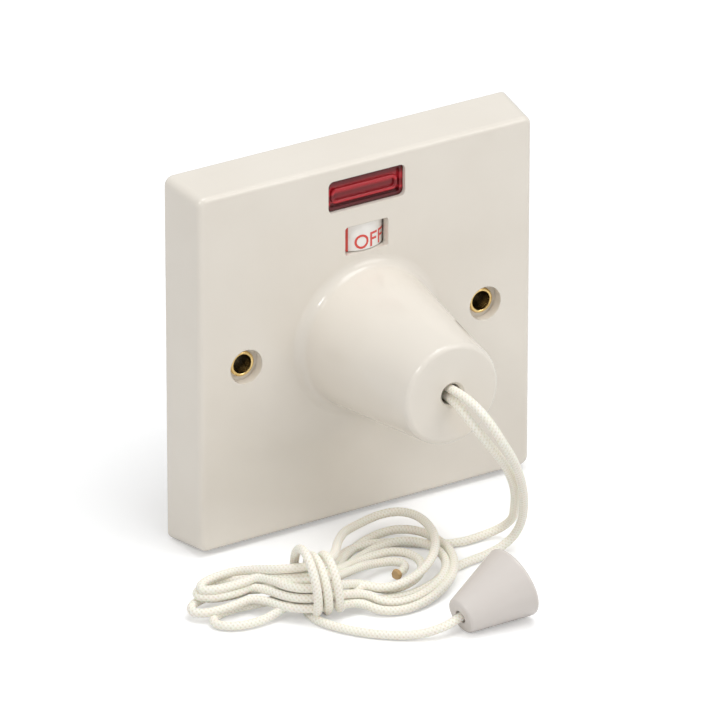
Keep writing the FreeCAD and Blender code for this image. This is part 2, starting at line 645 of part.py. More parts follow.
# ---- cord and pull ---------------------------------------------------------
def cord_path(name, route):
    """Wire of straight runs joined by tangent arcs; prints the arcs' radii."""
    points = [V(*p) for p in route]
    edges, radii = [], []
    start = points[0]
    for before, corner, after in zip(points, points[1:], points[2:]):
        towards, away = (corner - before), (after - corner)
        shorter = min(towards.Length, away.Length)
        half_turn = towards.getAngle(away) / 2
        radius = BEND * shorter / math.tan(half_turn)
        towards.normalize()
        away.normalize()
        cut = BEND * shorter
        enter, leave = corner - towards * cut, corner + away * cut
        inward = away - towards
        inward.normalize()
        middle = corner + inward * (radius / math.cos(half_turn) - radius)
        edges.append(Part.LineSegment(start, enter).toShape())
        edges.append(Part.Arc(enter, middle, leave).toShape())
        radii.append(round(radius, 1))
        start = leave
    edges.append(Part.LineSegment(start, points[-1]).toShape())
    print(name, "radii", radii)
    return Part.Wire(edges)


def cord_tube(name, route):
    path = cord_path(name, route)
    first, second = V(*route[0]), V(*route[1])
    section = Part.Wire(Part.makeCircle(CORD / 2, first, second - first))
    tube = path.makePipeShell([section], True, False)
    expected = math.pi * (CORD / 2) ** 2 * path.Length
    print(name, "length %.1f volume %.1f expected %.1f" % (path.Length, tube.Volume, expected))
    return tube


def cord_hank():
    """Outer shape of the tied hank: flat underneath, arched on top, waisted at its tie."""
    wires = []
    for x, front, back, height in HANK:
        edge = min(HANK_EDGE, height / 2)
        low_front, low_back = V(x, front, 0), V(x, back, 0)
        high_front, high_back = V(x, front, edge), V(x, back, edge)
        crest = V(x, (front + back) / 2, height)
        wires.append(Part.Wire([
            Part.LineSegment(low_back, low_front).toShape(),
            Part.LineSegment(low_front, high_front).toShape(),
            Part.Arc(high_front, crest, high_back).toShape(),
            Part.LineSegment(high_back, low_back).toShape()]))
    return Part.makeLoft(wires, True, True)


def pull_frame():
    """Centre of the pull's small end and its axis, lying on the floor on its side."""
    lean = math.atan2(PULL_BIG_R - PULL_SMALL_R, PULL_LENGTH)
    heading = math.radians(PULL_HEADING)
    axis = V(math.cos(heading) * math.cos(lean), math.sin(heading) * math.cos(lean), math.sin(lean))
    return V(*PULL_AT, PULL_SMALL_R * math.cos(lean)), axis


def pull_cone():
    """Conical pull, hollow from its wide end, with a hole for the tail."""
    centre, axis = pull_frame()
    rim_edge, cavity_start, cavity_r, wall = 0.7, 8.6, 4.2, 2.0
    body = Part.makeCone(PULL_SMALL_R, PULL_BIG_R, PULL_LENGTH, centre, axis)
    body = body.makeFillet(rim_edge, [e for e in body.Edges if len(e.Vertexes) == 1])
    cavity = Part.makeCone(cavity_r, PULL_BIG_R - wall, PULL_LENGTH - cavity_start,
                           centre + axis * cavity_start, axis)
    hole = Part.makeCylinder(PULL_HOLE_R, cavity_start, centre, axis)
    return body.cut(cavity).cut(hole)


def pull_knot():
    """Tail inside the pull and the knot that holds it."""
    centre, axis = pull_frame()
    knot_at, knot_r = 10.6, 2.0
    tail = Part.makeCylinder(CORD / 2, knot_at, centre, axis)
    return join(tail, Part.makeSphere(knot_r, centre + axis * knot_at))


def mirrored_x(shape):
    return shape.mirror(at(0, 0, 0), ACROSS)


def build():
    block_up, block_down = above_and_below(terminal_block())
    arm_up, arm_down = above_and_below(contact_arm())
    load_up, load_down = above_and_below(load_contact())
    supply_up, supply_down = above_and_below(supply_contact())
    resting = {"rocker": rocker(), "contact_arm_line": arm_up, "contact_arm_neutral": arm_down,
               "toggle_pin": toggle_pin(), "toggle_spring": coil(1.7, 0.3, TOGGLE_Y, TOGGLE_SHANK[0], 4)}
    resting["contact_springs"] = Part.makeCompound([
        coil(1.0, 0.22, ARM_Y[1], SPRING_END, 3, SPRING_X, z) for z in (-POLE_Z, POLE_Z)])
    nodes = {
        "front_cover": front_cover(),
        "fixing_eyelet_left": fixing_eyelet(-1),
        "fixing_eyelet_right": fixing_eyelet(1),
        "neon_lens": neon_lens(),
        "neon_holder": neon_holder(),
        "neon_lamp": neon_lamp(),
        "neon_wire_left": neon_wire(-1),
        "neon_wire_right": neon_wire(1),
        "neon_resistor": neon_resistor(),
        "mechanism_housing": mechanism_housing(),
        "housing_back": housing_back(),
        "housing_screws": Part.makeCompound([
            slotted_screw(LUG_SCREW_R, 2.4, LUG_TIP, LUG_Y[1], LUG_Y[1] + 1.5, side * LUG_X, z)
            for side in (-1, 1) for z in LUG_Z]),
        "back_screws": Part.makeCompound([
            slotted_screw(BACK_SCREW_R, 2.4, 22.5, REAR - SCREW_SINK, REAR - 0.1, 0, side * BACK_SCREW_Z)
            for side in (-1, 1)]),
        "detent_plate": detent_plate(),
        "line_load_terminal": block_up,
        "line_supply_terminal": mirrored_x(block_up),
        "neutral_load_terminal": block_down,
        "neutral_supply_terminal": mirrored_x(block_down),
        "line_load_contact": load_up,
        "line_supply_contact": supply_up,
        "neutral_load_contact": load_down,
        "neutral_supply_contact": supply_down,
        "terminal_screws": Part.makeCompound([
            slotted_screw(CLAMP_R, 2.9, CLAMP_TIP, TERMINAL_DEPTH[1], 32.4, x * TERMINAL_X, z * TERMINAL_MID)
            for x in (-1, 1) for z in (-1, 1)]),
        "rocker_pin": rod_z(ROCKER_PIN_R, -SHELF[1], SHELF[1], 0, ROCKER_Y),
        "flag_pin": rod_z(FLAG_PIN_R, 14.4, 29.8, 0, FLAG_Y),
        "indicator_flag": turned(indicator_flag(), -FLAG_SWING, FLAG_Y),
        "earth_strap": earth_strap(),
        "earth_terminal": earth_terminal(),
        "earth_screw": slotted_screw(EARTH_SCREW_R, 2.6, EARTH_SCREW_TIP, EARTH_BLOCK_Y[1],
                                     EARTH_BLOCK_Y[1] + 1.6, EARTH_X, EARTH_SCREW_Z),
        "pull_plunger": pull_plunger(),
        "return_spring": coil(8.0, 0.5, BOSS_END_WALL - BOSS_LENGTH, 1.8, 9),
        "drive_pawl": drive_pawl(),
        "pawl_pin": rod_z(PAWL_PIN_R, -5.0, 5.0, 0, PAWL_Y),
        "cord_inside": Part.makeCompound([
            rod_y(CORD / 2, LEAD_START, KNOT_SEAT, 0, dz) for dz in (-LEAD_APART, LEAD_APART)]),
        "cord_knot": cord_knot(),
        "pull_cone": pull_cone(),
        "pull_knot": pull_knot(),
    }
    for name, shape in resting.items():
        nodes[name] = turned(shape, ROCKER_TILT, ROCKER_Y)
    tubes = {"cord_lead_front": LEAD_FRONT, "cord_lead_rear": LEAD_REAR, "cord_tail": TAIL}
    hank = cord_hank()
    for name, route in tubes.items():
        nodes[name] = cord_tube(name, route)
        hank = hank.cut(nodes[name])
    nodes["cord_hank"] = hank
    return nodes


os.makedirs("parts", exist_ok=True)
for node, shape in build().items():
    shape.exportStep("parts/%s.step" % node)
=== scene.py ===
"""Pull cord switch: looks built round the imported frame.  Metres, the same axes as the frame:
X across the plate, Y back into the wall, Z up, and the floor at z = 0.
"""
import json
import math

import bmesh
import bpy
import numpy as np
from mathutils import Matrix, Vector


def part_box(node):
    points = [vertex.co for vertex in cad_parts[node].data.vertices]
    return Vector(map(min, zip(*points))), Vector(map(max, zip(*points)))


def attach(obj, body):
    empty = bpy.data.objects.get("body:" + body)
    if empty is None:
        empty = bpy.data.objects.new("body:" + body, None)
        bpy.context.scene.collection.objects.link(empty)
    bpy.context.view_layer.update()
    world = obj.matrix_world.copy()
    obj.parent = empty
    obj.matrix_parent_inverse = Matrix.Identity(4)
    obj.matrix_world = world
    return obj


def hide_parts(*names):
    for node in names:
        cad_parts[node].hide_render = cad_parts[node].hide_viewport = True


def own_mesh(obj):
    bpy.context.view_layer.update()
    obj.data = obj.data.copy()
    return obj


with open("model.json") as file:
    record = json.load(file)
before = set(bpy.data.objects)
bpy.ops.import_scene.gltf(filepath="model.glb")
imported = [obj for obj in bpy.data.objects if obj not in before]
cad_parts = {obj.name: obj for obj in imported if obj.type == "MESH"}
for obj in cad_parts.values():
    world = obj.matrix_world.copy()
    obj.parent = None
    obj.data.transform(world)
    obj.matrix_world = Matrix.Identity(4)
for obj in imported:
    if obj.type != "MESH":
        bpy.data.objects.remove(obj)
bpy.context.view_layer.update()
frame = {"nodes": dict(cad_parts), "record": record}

NODES = frame["nodes"]

# ---- driving sizes ---------------------------------------------------------
PLATE_MID = sum(corner.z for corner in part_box("front_cover")) / 2
CORD = 0.002                                     # diameter of the braided cord
FLOOR_Z = 0.00105                                # height of a strand's middle when it lies on the floor
NEON_WINDOW = (PLATE_MID + 0.0308, PLATE_MID + 0.0382)
FLAG_AXIS_Y = 0.0084
FLAG_R = 0.008
FLAG_SWING = math.radians(76.8)                  # between the two legends

# ---- camera ----------------------------------------------------------------
CAMERA_AT = Vector((-0.93599, -1.51352, 0.89701))
LOOKS_AT = Vector((-0.001693, 0.0, 0.037457))
CAMERA_LENS = 459.2
CAMERA_ROLL = math.radians(0.054)

# ---- cord routes, the same points as the tubes of the frame ----------------
LEAD_FRONT = [
    (0.0, -0.023, 0.0443), (0.0, -0.0282, 0.0443), (0.0, -0.0332, 0.0441),
    (0.0003, -0.0378, 0.0443), (0.0012, -0.042, 0.0432), (0.0028, -0.045, 0.0402),
    (0.0052, -0.046, 0.0356), (0.0084, -0.0454, 0.0304), (0.0118, -0.043, 0.0244),
    (0.0147, -0.04, 0.0182), (0.0168, -0.0368, 0.0122), (0.0182, -0.0338, 0.0076),
    (0.0178, -0.0316, 0.0034), (0.0142, -0.031, 0.00105), (0.0092, -0.0322, 0.00105),
    (0.004, -0.0328, 0.00105),
]
LEAD_REAR = [
    (0.0, -0.023, 0.0417), (0.0, -0.0278, 0.0417), (0.0, -0.0324, 0.04195), (0.0, -0.0368, 0.0416),
    (0.0004, -0.0406, 0.0396), (0.0022, -0.043, 0.0362), (0.0055, -0.0432, 0.0316),
    (0.0092, -0.0418, 0.0265), (0.0126, -0.0391, 0.0209), (0.0156, -0.0354, 0.0154),
    (0.0179, -0.0314, 0.01), (0.0198, -0.028, 0.0056), (0.0188, -0.025, 0.0024),
    (0.0148, -0.0238, 0.00105), (0.0096, -0.0242, 0.00105), (0.0046, -0.0226, 0.00105),
]
TAIL = [
    (-0.0356, -0.0324, 0.00105), (-0.0368, -0.0376, 0.00105), (-0.035, -0.043, 0.00105),
    (-0.0318, -0.048, 0.00105), (-0.0276, -0.0524, 0.00105), (-0.0224, -0.0562, 0.00125),
    (-0.01698, -0.05847, 0.0026), (-0.01257, -0.0581, 0.00385),
]
# the strands' ways in under the fan of loops, and the short end that stops inside it
FRONT_WAY_IN = [
    (-0.0018, -0.0346, FLOOR_Z), (-0.007, -0.0378, FLOOR_Z), (-0.0132, -0.0394, FLOOR_Z),
    (-0.0198, -0.0392, 0.0016), (-0.0256, -0.0374, 0.0026),
]
REAR_WAY_IN = [
    (-0.0006, -0.0184, FLOOR_Z), (-0.0062, -0.0148, FLOOR_Z), (-0.0124, -0.0148, 0.0014),
    (-0.0184, -0.0182, 0.0024), (-0.024, -0.024, 0.0036),
]
SHORT_END = [
    (-0.0244, -0.031, 0.0056), (-0.0182, -0.0274, 0.004), (-0.0129, -0.0256, 0.0026),
    (-0.009, -0.026, 0.0022), (-0.0076, -0.0282, 0.002), (-0.0096, -0.0306, 0.002),
    (-0.0118, -0.0313, 0.002),
]

# ---- hank ------------------------------------------------------------------
TIE_X, TIE_Y = -0.0346, -0.035                   # middle of the tie
TIE_LEAN = math.radians(-14)
TIE_HALF = 0.0048
TIE_ROWS = (0.004, 0.0062, 0.0084, 0.0106)       # heights of the strands in the tie
TIE_COLUMN = 0.0023
EAST_POINTS, WEST_POINTS, WRAP_POINTS = 11, 7, 12
WRAP_START = math.radians(-60)
WRAP_HALF_WIDTH, WRAP_HALF_HEIGHT = 0.0052, 0.00585
WRAP_ADVANCE = 0.0025                            # along the bundle, for each turn
# fans of loops east of the tie, from the lowest: heights are at the tip, the sides and the tie
EAST_LOOPS = [
    dict(centre=(-0.011, -0.030), reach=0.0142, back=0.024, front=0.0176, shear=0.2,
         heights=(0.0032, FLOOR_Z, 0.0034), pull=0.005, end=138),
    dict(centre=(-0.0115, -0.031), reach=0.012, back=0.0175, front=0.0136, shear=0.15,
         heights=(0.0034, 0.0016, 0.005), pull=0.0045, end=138),
    dict(centre=(-0.0145, -0.030), reach=0.0092, back=0.010, front=0.0094, shear=0.05,
         heights=(0.0036, 0.0026, 0.006), pull=0.002, end=135),
    dict(centre=(-0.0122, -0.0252), reach=0.0138, back=0.021, front=0.0164, shear=0.35,
         heights=(0.006, 0.004, 0.0085), pull=0.0015, end=122),
]
WEST_LOOPS = [
    dict(centre=(-0.0476, -0.0294), reach=0.0082, back=0.0049, front=0.0049, shear=-0.25,
         heights=(FLOOR_Z, 0.0013, 0.003)),
    dict(centre=(-0.0494, -0.0242), reach=0.0086, back=0.0043, front=0.0038, shear=-0.5,
         heights=(0.002, 0.0032, 0.0046)),
    dict(centre=(-0.048, -0.0224), reach=0.0076, back=0.0038, front=0.0038, shear=-0.5,
         heights=(0.0044, 0.005, 0.0064)),
    dict(centre=(-0.0465, -0.0226), reach=0.0086, back=0.0034, front=0.0034, shear=-0.5,
         heights=(0.006, 0.0069, 0.0082)),
]
SHORT_LOOP = dict(centre=(-0.046, -0.0196), reach=0.0074, back=0.0038, front=0.0036, shear=-0.5,
                  heights=(0.0024, 0.0028, 0.004))
WESTWARD_SLOTS = [(-0.0033, 0.0034), (-0.0027, 0.0056), (-0.0024, 0.0078), (0.0, 0.0106)]
DEPTHS_IN_PULL = (0.0045, 0.009)                 # of the long cord's last points


def in_tie(along, across, height):
    """Point in the tie's own directions: along the bundle, across it, and up."""
    c, s = math.cos(TIE_LEAN), math.sin(TIE_LEAN)
    return (TIE_X + along * c - across * s, TIE_Y + along * s + across * c, height)


def westward(across, height):
    return [in_tie(TIE_HALF, across, height), in_tie(-TIE_HALF, across, height)]


def eastward(across, height):
    return westward(across, height)[::-1]


def egg_loop(side, points, centre, reach, back, front, shear, heights, pull=0.0, end=115):
    """One end loop, narrow towards the tie.  Side is 1 east of the tie and -1 west of it."""
    tip_z, side_z, tie_z = heights
    out = []
    for i in range(points):
        a = math.radians(end - 2 * end * i / (points - 1)) * side
        width, taper = (back, 0.5) if a > 0 else (front, 0.3)
        dy = width * (1 - taper * (1 - math.cos(a)) / 2) * math.sin(a)
        x = centre[0] + side * reach * math.cos(a) + shear * dy
        if a < 0:
            x -= side * pull * math.sin(a) ** 2
        towards_tip, towards_tie = max(0.0, math.cos(a)), max(0.0, -math.cos(a))
        z = side_z + (tip_z - side_z) * towards_tip ** 2 + (tie_z - side_z) * towards_tie ** 2
        out.append((x, centre[1] + dy, max(FLOOR_Z, z)))
    return out


def tie_wraps(turns=3):
    """Turns wound round the bundle; the last one stands loose."""
    out = []
    for i in range(turns * WRAP_POINTS - 1):
        t = i / WRAP_POINTS
        a = WRAP_START + 2 * math.pi * t
        grown = 1.08 + 0.17 * max(0.0, t - 1.4)
        along = 0.0042 - WRAP_ADVANCE * t - 0.0004 * math.sin(a)
        height = FLOOR_Z + WRAP_HALF_HEIGHT * (1 + math.sin(a)) * grown
        out.append(in_tie(along, -WRAP_HALF_WIDTH * math.cos(a) * grown, height))
    return out


def long_cord_route():
    """Front lead, four turns of the hank, the tie, the tail, and the end in the pull."""
    route = LEAD_FRONT + FRONT_WAY_IN + westward(0.0, TIE_ROWS[0])
    last = len(EAST_LOOPS) - 1
    for i, (west, east) in enumerate(zip(WEST_LOOPS, EAST_LOOPS)):
        route = route + egg_loop(-1, WEST_POINTS, **west)
        route = route + eastward(TIE_COLUMN, TIE_ROWS[i])
        route = route + egg_loop(1, EAST_POINTS, **east)
        if i < last:
            route = route + westward(*WESTWARD_SLOTS[i])
    route = route + tie_wraps() + TAIL
    start, axis = pull_axis()
    return route + [tuple(start + axis * step) for step in DEPTHS_IN_PULL]


def short_cord_route():
    """Rear lead, one loop west of the tie, and back to the sealed end among the loops."""
    route = LEAD_REAR + REAR_WAY_IN + westward(0.0, TIE_ROWS[1])
    route = route + egg_loop(-1, WEST_POINTS, **SHORT_LOOP)
    return route + eastward(0.0, TIE_ROWS[2]) + SHORT_END


def pull_axis():
    """Centre of the pull's small end, and the direction towards its wide end."""
    start, before = Vector(TAIL[-1]), Vector(TAIL[-2])
    return start, (start - before).normalized()


# ---- braided cord ----------------------------------------------------------
BRAID_YARNS = 5              # ridges of each hand round the cord
BRAID_PITCH = 0.0046         # length in which a yarn goes once round
BRAID_RELIEF = 0.00013
RING_STEP = 0.00026
RING_POINTS = 28


def route_line(name, route):
    """Points along the smooth curve that the route controls."""
    data = bpy.data.curves.new(name, "CURVE")
    data.dimensions = "3D"
    spline = data.splines.new("NURBS")
    spline.points.add(len(route) - 1)
    for point, place in zip(spline.points, route):
        point.co = (*place, 1.0)
    spline.order_u = 3
    spline.use_endpoint_u = True
    spline.resolution_u = 16
    curve = bpy.data.objects.new(name, data)
    mesh = bpy.data.meshes.new_from_object(curve)
    line = np.array([v.co for v in mesh.vertices])
    bpy.data.objects.remove(curve)
    bpy.data.meshes.remove(mesh)
    bpy.data.curves.remove(data)
    return line


def evenly(line, step):
    """The same line with points one step apart."""
    along = np.concatenate([[0], np.cumsum(np.linalg.norm(np.diff(line, axis=0), axis=1))])
    places = np.linspace(0, along[-1], math.ceil(along[-1] / step) + 1)
    return np.stack([np.interp(places, along, line[:, k]) for k in range(3)], axis=1), places


def carried_frames(line):
    """Tangent, side and up vectors carried along the line without twist."""
    tangents = np.gradient(line, axis=0)
    tangents /= np.linalg.norm(tangents, axis=1)[:, None]
    sides = np.zeros_like(line)
    side = np.cross(tangents[0], (0.0, 0.0, 1.0))
    for i, tangent in enumerate(tangents):
        side = side - tangent * side.dot(tangent)
        side = side / np.linalg.norm(side)
        sides[i] = side
    return tangents, sides, np.cross(tangents, sides)


def braid_crown(around, along):
    """Height of the braid's surface, 0 in the gaps and 1 on the crowns."""
    right = BRAID_YARNS * (around + 2 * math.pi * along / BRAID_PITCH)
    left = BRAID_YARNS * (around - 2 * math.pi * along / BRAID_PITCH)
    over = 0.5 + 0.5 * np.cos((right + left) / 2) * np.cos((right - left) / 2)
    first = (0.5 + 0.5 * np.cos(right)) * (0.55 + 0.45 * over)
    second = (0.5 + 0.5 * np.cos(left)) * (1.0 - 0.45 * over)
    return np.maximum(first, second) ** 0.6


def tube_mesh(name, line, along, radius_at, crown=None):
    """Closed tube round the line.  UV is length in cord diameters, and share of the way round."""
    tangents, sides, ups = carried_frames(line)
    n = RING_POINTS
    around = np.linspace(0, 2 * math.pi, n, endpoint=False)
    radius = np.broadcast_to(radius_at(around[None, :], along[:, None]), (len(line), n))
    spokes = (sides[:, None, :] * np.cos(around)[None, :, None]
              + ups[:, None, :] * np.sin(around)[None, :, None])
    rings = line[:, None, :] + spokes * radius[:, :, None]
    points = np.concatenate([rings.reshape(-1, 3), line[:1], line[-1:]])
    first, last = len(points) - 2, len(points) - 1
    faces, uvs = [], []
    for i in range(len(line) - 1):
        u0, u1 = along[i] / CORD, along[i + 1] / CORD
        for j in range(n):
            k = (j + 1) % n
            faces.append((i * n + j, i * n + k, (i + 1) * n + k, (i + 1) * n + j))
            uvs += [u0, j / n, u0, (j + 1) / n, u1, (j + 1) / n, u1, j / n]
    top = (len(line) - 1) * n
    for j in range(n):
        k = (j + 1) % n
        faces.append((first, k, j))
        faces.append((last, top + j, top + k))
        uvs += [0.0, 0.5, 0.0, k / n, 0.0, j / n] + [along[-1] / CORD, 0.5] * 3
    mesh = bpy.data.meshes.new(name)
    mesh.from_pydata(points.tolist(), [], faces)
    mesh.uv_layers.new(name="Lay").data.foreach_set("uv", uvs)
    mesh.polygons.foreach_set("use_smooth", [True] * len(faces))
    if crown is not None:
        heights = np.concatenate([crown(around[None, :], along[:, None]).ravel(), [0.0, 0.0]])
        mesh.attributes.new("Crown", "FLOAT", "POINT").data.foreach_set("value", heights.astype(np.float32))
    return link_mesh(name, mesh)


def link_mesh(name, mesh):
    piece = bpy.data.objects.new(name, mesh)
    bpy.context.scene.collection.objects.link(piece)
    return piece


def braided_cord(name, route):
    line, along = evenly(route_line(name + "_route", route), RING_STEP)

    def radius_at(around, length):
        return CORD / 2 - BRAID_RELIEF * (1 - braid_crown(around, length))

    return tube_mesh(name, line, along, radius_at, braid_crown), line


# ---- node helpers ----------------------------------------------------------
def effect(name, inputs, outputs):
    """Empty shader group with named sockets; returns it with its two end nodes."""
    group = bpy.data.node_groups.new(name, "ShaderNodeTree")
    for socket, kind, value in inputs:
        made = group.interface.new_socket(socket, in_out="INPUT", socket_type="NodeSocket" + kind)
        if value is not None:
            made.default_value = value
    for socket, kind in outputs:
        group.interface.new_socket(socket, in_out="OUTPUT", socket_type="NodeSocket" + kind)
    return group, group.nodes.new("NodeGroupInput"), group.nodes.new("NodeGroupOutput")


def add(tree, kind, links=None, **settings):
    """New node; links maps a socket's name or number to a value or another node's output."""
    node = tree.nodes.new("ShaderNode" + kind)
    for key, value in settings.items():
        setattr(node, key, value)
    for socket, value in (links or {}).items():
        if isinstance(value, bpy.types.NodeSocket):
            tree.links.new(value, node.inputs[socket])
        else:
            node.inputs[socket].default_value = value
    return node


def blend_colours(tree, share, first, second):
    mix = tree.nodes.new("ShaderNodeMix")
    mix.data_type = "RGBA"
    for socket, value in ((0, share), (6, first), (7, second)):
        if isinstance(value, bpy.types.NodeSocket):
            tree.links.new(value, mix.inputs[socket])
        else:
            mix.inputs[socket].default_value = value
    return mix.outputs[2]


def ramp_value(tree, value, low, high, to_low=0.0, to_high=1.0):
    links = {"Value": value, "From Min": low, "From Max": high, "To Min": to_low, "To Max": to_high}
    return add(tree, "MapRange", links).outputs[0]


# ---- shared effects --------------------------------------------------------
def moulded_skin():
    """Moulded plastic: faint mottling, a fine eggshell ripple, and softened edges."""
    group, given, result = effect("moulded_skin", [
        ("Light", "Color", None), ("Dark", "Color", None), ("Smoothest", "Float", 0.2),
        ("Roughest", "Float", 0.3), ("Ripple", "Float", 0.00001), ("Edge", "Float", 0.0002)],
        [("Colour", "Color"), ("Roughness", "Float"), ("Normal", "Vector")])
    place = add(group, "TexCoord").outputs["Object"]
    clouds = add(group, "TexNoise", {"Vector": place, "Scale": 45.0, "Detail": 4.0}).outputs[0]
    grain = add(group, "TexNoise", {"Vector": place, "Scale": 900.0, "Detail": 3.0}).outputs[0]
    flow = add(group, "TexNoise", {"Vector": place, "Scale": 160.0, "Detail": 2.0}).outputs[0]
    share = ramp_value(group, clouds, 0.35, 0.68)
    colour = blend_colours(group, share, given.outputs["Light"], given.outputs["Dark"])
    rough = add(group, "MapRange", {"Value": grain, "From Min": 0.3, "From Max": 0.7,
                                    "To Min": given.outputs["Smoothest"],
                                    "To Max": given.outputs["Roughest"]}).outputs[0]
    edge = add(group, "Bevel", {"Radius": given.outputs["Edge"]}, samples=4)
    height = add(group, "Math", {0: grain, 1: flow}, operation="ADD").outputs[0]
    bump = add(group, "Bump", {"Height": height, "Distance": given.outputs["Ripple"],
                               "Strength": 0.5, "Normal": edge.outputs[0]})
    group.links.new(colour, result.inputs["Colour"])
    group.links.new(rough, result.inputs["Roughness"])
    group.links.new(bump.outputs[0], result.inputs["Normal"])
    return group


def handled_metal():
    """Turned or stamped metal: fine scratches, tarnish, soft edges, and painted shade deep in a bore."""
    group, given, result = effect("handled_metal", [
        ("Bright", "Color", None), ("Tarnish", "Color", None), ("Smoothest", "Float", 0.15),
        ("Roughest", "Float", 0.4), ("Scratch", "Float", 0.00002), ("Edge", "Float", 0.00015),
        # the dark colour and its two depths paint shade deep in a bore
        ("Soil And Shade", "Color", (0.13, 0.10, 0.055, 1.0)), ("Bore Shade From", "Float", 1.0), ("Bore Shade To", "Float", 2.0)],
        [("Colour", "Color"), ("Roughness", "Float"), ("Normal", "Vector")])
    place = add(group, "TexCoord").outputs["Object"]
    patches = add(group, "TexNoise", {"Vector": place, "Scale": 240.0, "Detail": 6.0,
                                      "Roughness": 0.7}).outputs[0]
    drawn = add(group, "Mapping", {"Vector": place, "Scale": (300.0, 2600.0, 2600.0)}).outputs[0]
    scratches = add(group, "TexNoise", {"Vector": drawn, "Scale": 1.0, "Detail": 3.0}).outputs[0]
    share = ramp_value(group, patches, 0.42, 0.72)
    clean = blend_colours(group, share, given.outputs["Bright"], given.outputs["Tarnish"])
    # painted shade: further back along Y the colour turns to the dark colour, standing in for shade deep in
    # a bore
    depth = add(group, "SeparateXYZ", {0: place}).outputs["Y"]
    bore_shade_share = add(group, "MapRange", {"Value": depth, "From Min": given.outputs["Bore Shade From"],
                                   "From Max": given.outputs["Bore Shade To"]}).outputs[0]
    colour = blend_colours(group, bore_shade_share, clean, given.outputs["Soil And Shade"])
    both = add(group, "Math", {0: patches, 1: scratches}, operation="MULTIPLY").outputs[0]
    rough = add(group, "MapRange", {"Value": both, "From Min": 0.15, "From Max": 0.4,
                                    "To Min": given.outputs["Smoothest"],
                                    "To Max": given.outputs["Roughest"]}).outputs[0]
    edge = add(group, "Bevel", {"Radius": given.outputs["Edge"]}, samples=4)
    bump = add(group, "Bump", {"Height": scratches, "Distance": given.outputs["Scratch"],
                               "Strength": 0.6, "Normal": edge.outputs[0]})
    group.links.new(colour, result.inputs["Colour"])
    group.links.new(rough, result.inputs["Roughness"])
    group.links.new(bump.outputs[0], result.inputs["Normal"])
    return group


def braided_yarn():
    """Fine filaments along the braid's crowns, painted shade in the gaps between them, and patches of soil.
    """
    group, given, result = effect("braided_yarn", [
        ("Crown", "Color", None), ("Shaded Gap", "Color", None), ("Soil And Shade", "Color", None)],
        [("Colour", "Color"), ("Roughness", "Float"), ("Normal", "Vector")])
    lay = add(group, "UVMap", uv_map="Lay").outputs[0]
    place = add(group, "TexCoord").outputs["Object"]
    height = add(group, "Attribute", attribute_name="Crown").outputs["Fac"]
    clouds = add(group, "TexNoise", {"Vector": place, "Scale": 130.0, "Detail": 3.0}).outputs[0]
    stretched = add(group, "Mapping", {"Vector": lay, "Scale": (9.0, 46.0, 1.0)}).outputs[0]
    filaments = add(group, "TexNoise", {"Vector": stretched, "Scale": 1.0, "Detail": 2.0}).outputs[0]
    # painted shade: the gaps between the crowns take the darker, yellower gap colour
    crowned = ramp_value(group, height, 0.25, 0.85)
    clean = blend_colours(group, crowned, given.outputs["Shaded Gap"], given.outputs["Crown"])
    soiled = ramp_value(group, clouds, 0.5, 0.8, 0.0, 0.5)
    colour = blend_colours(group, soiled, clean, given.outputs["Soil And Shade"])
    bump = add(group, "Bump", {"Height": filaments, "Distance": 0.00006, "Strength": 0.55})
    group.links.new(colour, result.inputs["Colour"])
    group.links.new(ramp_value(group, filaments, 0.3, 0.7, 0.5, 0.75), result.inputs["Roughness"])
    group.links.new(bump.outputs[0], result.inputs["Normal"])
    return group


SKIN, METAL, YARN = moulded_skin(), handled_metal(), braided_yarn()


# ---- materials -------------------------------------------------------------
def finish_from(name, group, values, fixed):
    """Material whose colour, roughness and normal come from a group; fixed are the shader's own."""
    material = bpy.data.materials.new(name)
    material.use_nodes = True
    tree = material.node_tree
    shader = tree.nodes["Principled BSDF"]
    node = tree.nodes.new("ShaderNodeGroup")
    node.node_tree = group
    for socket, value in values.items():
        node.inputs[socket].default_value = (*value, 1.0) if isinstance(value, tuple) else value
    for source, target in (("Colour", "Base Color"), ("Roughness", "Roughness"), ("Normal", "Normal")):
        tree.links.new(node.outputs[source], shader.inputs[target])
    for socket, value in fixed.items():
        shader.inputs[socket].default_value = value
    return material


def plastic(name, light, dark, smoothest=0.2, roughest=0.3, ripple=0.00001, edge=0.0002, **fixed):
    values = {"Light": light, "Dark": dark, "Smoothest": smoothest, "Roughest": roughest,
              "Ripple": ripple, "Edge": edge}
    return finish_from(name, SKIN, values, {"IOR": 1.5, **fixed})


# the extra settings give the depths of the painted shade in a bore
def metal(name, bright, tarnish, smoothest=0.15, roughest=0.4, scratch=0.00002, **bore_shade):
    values = {"Bright": bright, "Tarnish": tarnish, "Smoothest": smoothest, "Roughest": roughest,
              "Scratch": scratch, **bore_shade}
    return finish_from(name, METAL, values, {"Metallic": 1.0})


